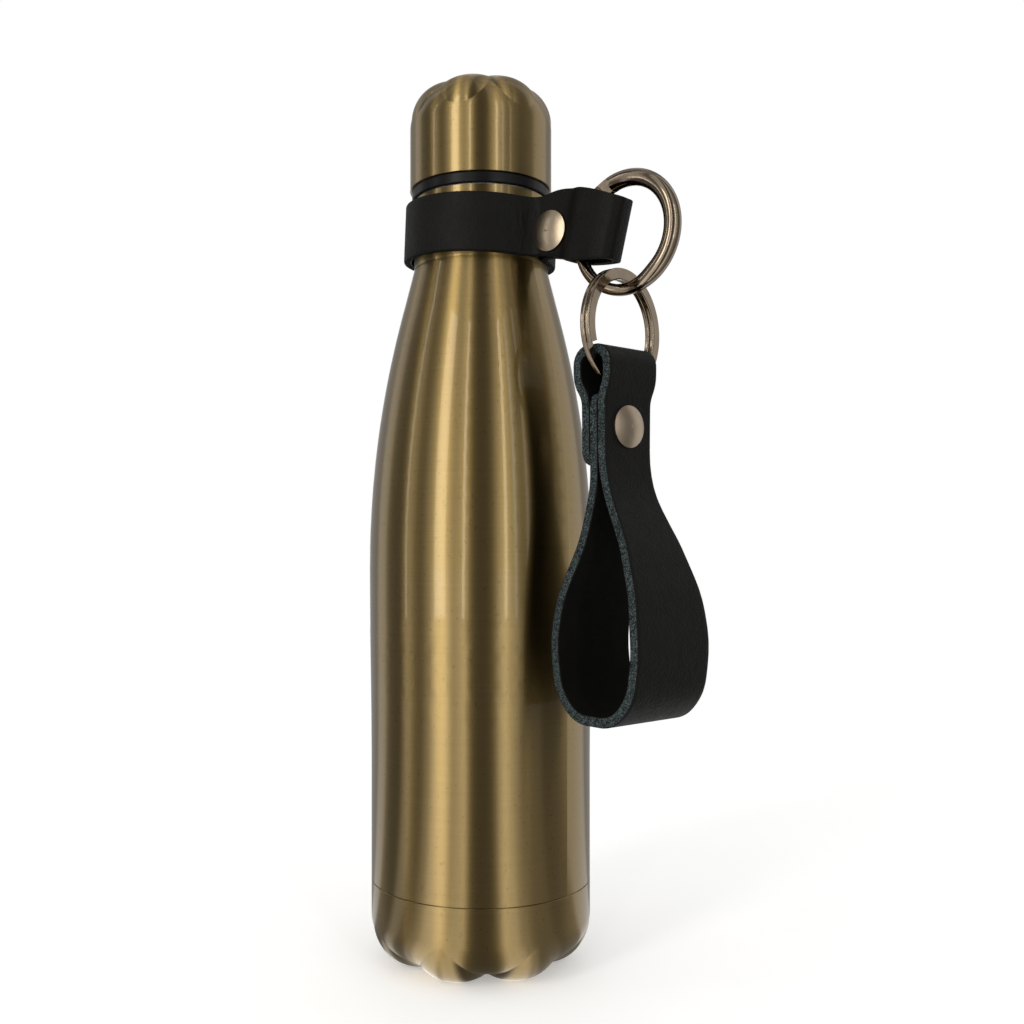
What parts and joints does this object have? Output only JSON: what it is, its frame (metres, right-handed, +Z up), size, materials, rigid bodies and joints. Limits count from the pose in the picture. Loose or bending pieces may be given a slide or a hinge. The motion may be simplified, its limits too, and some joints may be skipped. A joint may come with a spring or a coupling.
{
  "type": "insulated bottle",
  "caption": "Slim insulated metal bottle with a lobed foot, fluted screw cap, leather neck collar, spring-gate ring, split ring and leather wrist loop.",
  "frame": {"origin": "on the bottle's axis, on the surface that its feet stand on", "axes": "+Z up along the bottle's axis, +X from the axis towards the tab of the leather collar"},
  "size_m": [0.1085, 0.0684, 0.2671],
  "materials": {
    "gold_metal": "brushed steel under a clear gold lacquer, glossy",
    "flask_steel": "satin",
    "cap_plastic": "satin",
    "cap_fill": "matt",
    "seal": "matt silicone",
    "leather": "smooth black grain, satin, raw cut edges",
    "nickel": "polished nickel"
  },
  "bodies": {
    "bottle": {"outer_shell": "gold_metal", "inner_flask": "flask_steel", "vacuum_plate": "flask_steel", "getter": "flask_steel", "base_cup": "gold_metal"},
    "gasket": {"mouth_gasket": "seal"},
    "cap": {"cap_shell": "gold_metal", "cap_stopper": "cap_plastic", "stopper_foam": "cap_fill", "stopper_disc": "cap_plastic"},
    "collar": {"collar_strap": "leather", "collar_rivet_cap": "nickel", "collar_rivet_post": "nickel"},
    "ring": {"o_ring": "nickel", "gate_pin": "nickel", "gate_spring": "nickel"},
    "gate": {"ring_gate": "nickel"},
    "split": {"split_ring": "nickel"},
    "wrist": {"wrist_strap": "leather", "wrist_rivet_cap": "nickel", "wrist_rivet_post": "nickel"}
  },
  "joints": [
    {"name": "cap_rise", "type": "slide", "parent": "bottle", "child": "gasket", "axis": [0, 0, 1], "range_m": [0, 0.04]},
    {"name": "cap_turn", "type": "hinge", "parent": "gasket", "child": "cap", "pos_m": [0, 0, 0.2321], "axis": [0, 0, 1], "range_deg": [0, 1800]},
    {"name": "collar_turn", "type": "hinge", "parent": "bottle", "child": "collar", "pos_m": [0, 0, 0.2193], "axis": [0, 0, 1], "continuous": true},
    {"name": "o_ring_turn", "type": "hinge", "parent": "collar", "child": "ring", "pos_m": [0.054, 0, 0.213], "axis": [0, -1, 0], "range_deg": [0, 25]},
    {"name": "gate_open", "type": "hinge", "parent": "ring", "child": "gate", "pos_m": [0.04936, 0, 0.22727], "axis": [0, -1, 0], "range_deg": [0, 18], "stiffness_Nm_per_rad": 0.02, "springref_deg": -20.05},
    {"name": "split_ring_swing", "type": "hinge", "parent": "ring", "child": "split", "pos_m": [0.0524, 0, 0.20148], "axis": [-0.0175, -0.9998, 0], "range_deg": [-1.5, 75]},
    {"name": "wrist_loop_swing", "type": "hinge", "parent": "split", "child": "wrist", "pos_m": [0.0524, 0, 0.17678], "axis": [-0.1392, -0.9903, 0], "range_deg": [-1.5, 12]}
  ],
  "couplings": [
    {"joint": "cap_rise", "follows": "cap_turn", "m_per_rad": 0.0012732}
  ]
}
